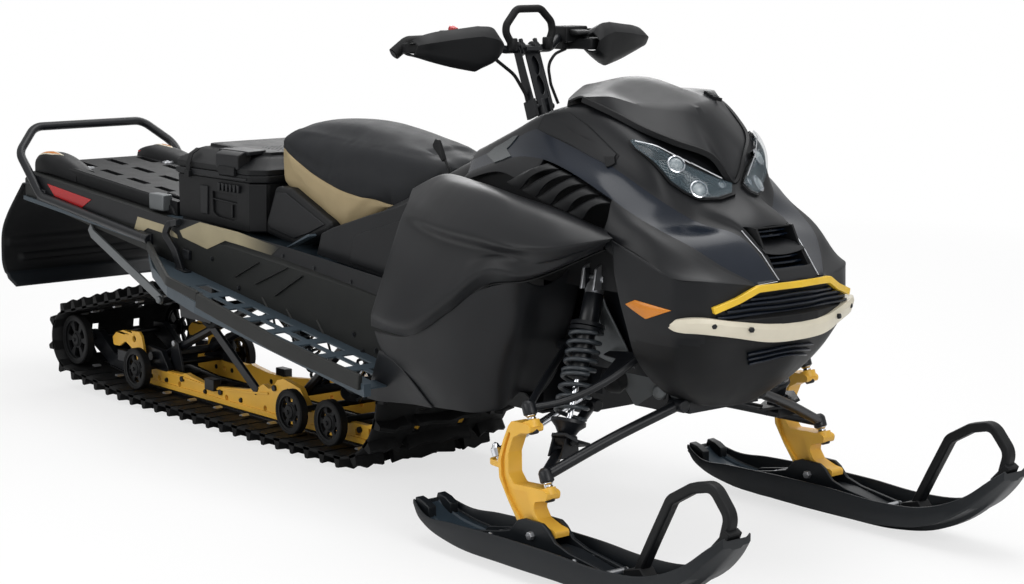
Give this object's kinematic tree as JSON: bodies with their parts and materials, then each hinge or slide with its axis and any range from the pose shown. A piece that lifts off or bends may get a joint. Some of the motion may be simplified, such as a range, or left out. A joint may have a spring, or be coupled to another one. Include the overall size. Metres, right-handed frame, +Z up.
{
  "type": "snowmobile",
  "caption": "Snowmobile with a long lugged track, steered skis on an open front suspension, a tall handlebar and a cargo box with a hinged lid behind the seat.",
  "frame": {"origin": "centre of the overall box, on the floor", "axes": "+X forward, +Y to the rider's left, +Z up"},
  "size_m": [3.607, 1.104, 1.296],
  "materials": {
    "dark_sheet": "matte",
    "blue_grey_sheet": "satin",
    "black_plastic": "matte moulded",
    "charcoal_panel": "satin moulded",
    "seat_cover": "matte seat cover",
    "black_metal": "black powder coat",
    "bare_metal": "brushed",
    "yellow_paint": "golden yellow",
    "cream_plastic": "satin",
    "black_rubber": "matte",
    "clear_lens": "clear gloss",
    "red_lens": "gloss"
  },
  "bodies": {
    "chassis": {"tunnel": "dark_sheet", "running_board_right": "blue_grey_sheet", "running_board_left": "blue_grey_sheet", "snow_flap": "black_plastic", "grab_bar": "black_metal", "cargo_deck": "black_plastic", "tail_lamps": "red_lens", "tow_hitch": "bare_metal", "cargo_box": "black_plastic", "seat": "seat_cover", "seat_console": "charcoal_panel", "side_panel_right": "charcoal_panel", "side_panel_left": "charcoal_panel", "hood": "charcoal_panel", "windshield": "black_plastic", "headlight_right": "clear_lens", "headlight_left": "clear_lens", "nose_cover": "black_plastic", "front_bumper": "cream_plastic", "belly_pan": "black_plastic", "engine_block": "bare_metal", "front_arms_right": "black_metal", "front_arms_left": "black_metal", "ski_shock_right": "black_metal", "ski_shock_left": "black_metal", "front_subframe": "bare_metal", "track": "black_rubber", "idler_wheels": "black_plastic", "drive_axle": "black_plastic", "slide_rails": "yellow_paint", "suspension_arms": "black_metal", "rear_shocks": "black_metal"},
    "steering": {"handlebar": "black_metal", "grab_strap": "black_rubber", "hand_guards": "black_plastic"},
    "front_right": {"spindle_right": "yellow_paint", "ski_right": "black_plastic"},
    "front_left": {"spindle_left": "yellow_paint", "ski_left": "black_plastic"},
    "tie_right": {"tie_rod_right": "black_metal"},
    "tie_left": {"tie_rod_left": "black_metal"},
    "lid": {"cargo_box_lid": "black_plastic"}
  },
  "joints": [
    {"name": "steering_turn", "type": "hinge", "parent": "chassis", "child": "steering", "pos_m": [0.6215, 0, 1.03], "axis": [-0.3714, 0, 0.9285], "range_deg": [-38, 38]},
    {"name": "ski_turn_right", "type": "hinge", "parent": "chassis", "child": "front_right", "pos_m": [1.1915, -0.47, 0.199], "axis": [-0.3586, 0, 0.9335], "range_deg": [-28, 28]},
    {"name": "ski_turn_left", "type": "hinge", "parent": "chassis", "child": "front_left", "pos_m": [1.1915, 0.47, 0.199], "axis": [-0.3586, 0, 0.9335], "range_deg": [-28, 28]},
    {"name": "tie_eye_right", "type": "hinge", "parent": "front_right", "child": "tie_right", "pos_m": [1.0065, -0.47, 0.262], "axis": [-0.3586, 0, 0.9335], "range_deg": [-28, 28]},
    {"name": "tie_eye_left", "type": "hinge", "parent": "front_left", "child": "tie_left", "pos_m": [1.0065, 0.47, 0.262], "axis": [-0.3586, 0, 0.9335], "range_deg": [-28, 28]},
    {"name": "lid_open", "type": "hinge", "parent": "chassis", "child": "lid", "pos_m": [-0.7685, 0, 0.79215], "axis": [0, -1, 0], "range_deg": [0, 95]}
  ],
  "couplings": [
    {"joint": "ski_turn_right", "follows": "steering_turn", "ratio": 0.7368},
    {"joint": "ski_turn_left", "follows": "steering_turn", "ratio": 0.7368},
    {"joint": "tie_eye_right", "follows": "steering_turn", "ratio": -0.7368},
    {"joint": "tie_eye_left", "follows": "steering_turn", "ratio": -0.7368}
  ]
}
